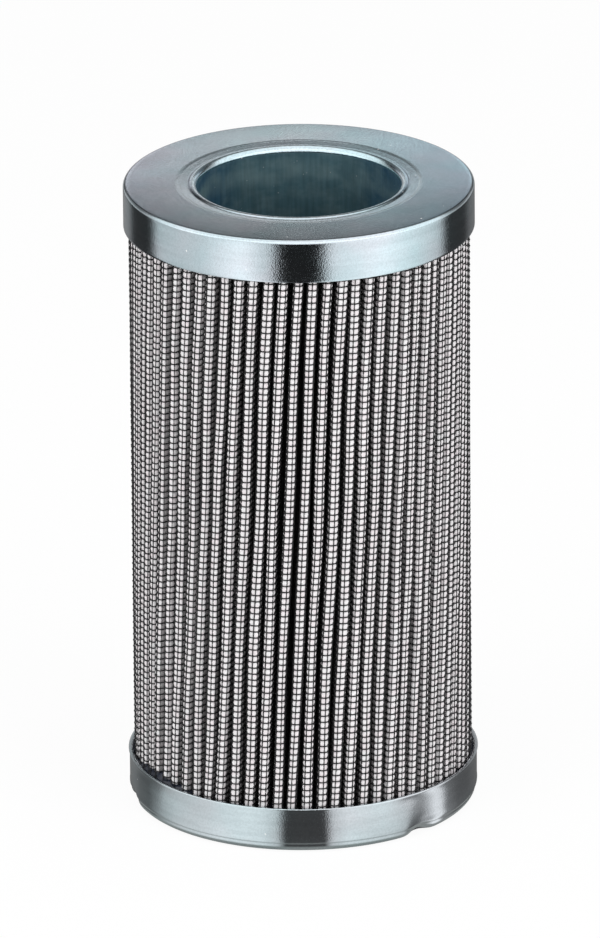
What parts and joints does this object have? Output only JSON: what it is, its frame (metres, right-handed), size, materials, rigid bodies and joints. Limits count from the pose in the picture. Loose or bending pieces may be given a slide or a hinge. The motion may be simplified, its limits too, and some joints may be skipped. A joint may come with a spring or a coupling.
{
  "type": "pleated filter element",
  "caption": "Cylindrical pleated hydraulic filter element with an open steel end cap, a closed steel end cap, a perforated core and a pleated pack under black wire cloth.",
  "frame": {"origin": "centre of the underside of the closed end cap, where the element stands", "axes": "+Z along the element's axis, out of the open end; -Y is the front"},
  "size_m": [0.0704, 0.0704, 0.13],
  "materials": {
    "zinc_plated_steel": "satin",
    "core_steel": "satin",
    "black_wire": "satin",
    "white_fleece": "matte",
    "glass_fibre": "matte",
    "dark_resin": "gloss"
  },
  "bodies": {
    "root": {"top_end_cap": "zinc_plated_steel", "bottom_end_cap": "zinc_plated_steel", "support_tube": "core_steel", "outer_wire_cloth": "black_wire", "upstream_fleece": "white_fleece", "glass_fibre_media": "glass_fibre", "downstream_fleece": "white_fleece", "inner_wire_cloth": "black_wire", "side_seam_clip": "core_steel", "top_potting": "dark_resin", "bottom_potting": "dark_resin"}
  },
  "joints": []
}
